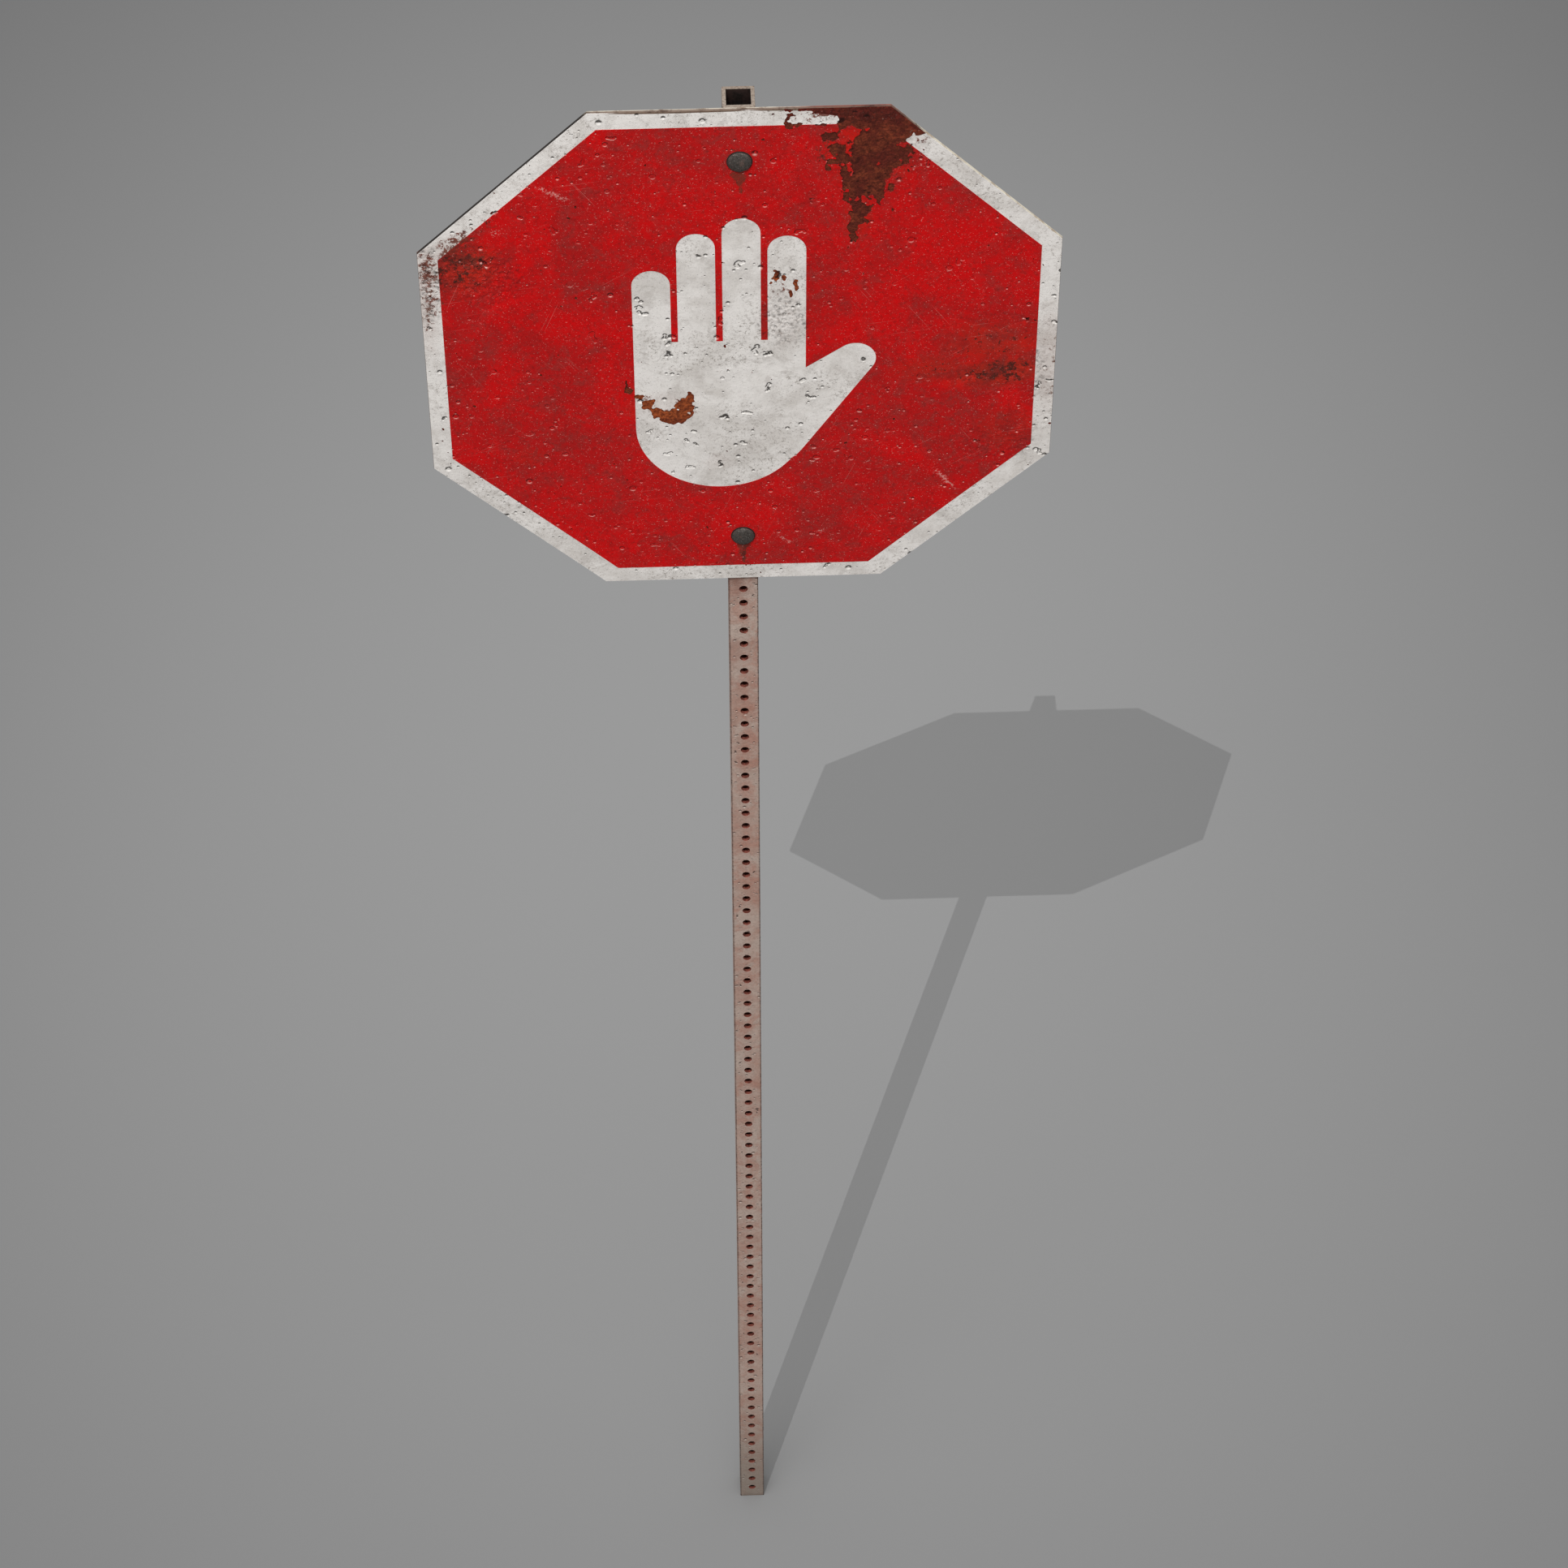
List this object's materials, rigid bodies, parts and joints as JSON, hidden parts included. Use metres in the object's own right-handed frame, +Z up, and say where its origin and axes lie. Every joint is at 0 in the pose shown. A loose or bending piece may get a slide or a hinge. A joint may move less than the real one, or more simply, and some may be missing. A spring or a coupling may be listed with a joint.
{
  "type": "signpost with sign",
  "caption": "Octagonal traffic sign with a white border and a white raised-hand symbol on red, bolted to a perforated square steel post.",
  "frame": {"origin": "on the post's axis at ground level, where the post's lower end stands", "axes": "+Z up along the post, the sign faces -Y, +X to the right of someone who reads the sign"},
  "size_m": [0.762, 0.0683, 2.8956],
  "materials": {
    "post_steel": "weathered grey-brown rust over old zinc, pitted",
    "blank_steel": "dull steel plate, rust along its edges",
    "white_sheeting": "satin white retroreflective sheeting, dirty and pitted",
    "red_film": "satin red overlay film, mottled, scratched and rusted through in places",
    "bolt_steel": "dark weathered steel",
    "fastener_zinc": "dull zinc plate",
    "nylon": "dark nylon"
  },
  "bodies": {
    "root": {"post": "post_steel", "sign_blank": "blank_steel", "white_sheeting": "white_sheeting", "red_film": "red_film", "upper_bolt": "bolt_steel", "upper_face_washer": "nylon", "upper_back_washer": "fastener_zinc", "upper_lock_washer": "fastener_zinc", "upper_nut": "fastener_zinc", "lower_bolt": "bolt_steel", "lower_face_washer": "nylon", "lower_back_washer": "fastener_zinc", "lower_lock_washer": "fastener_zinc", "lower_nut": "fastener_zinc"}
  },
  "joints": []
}
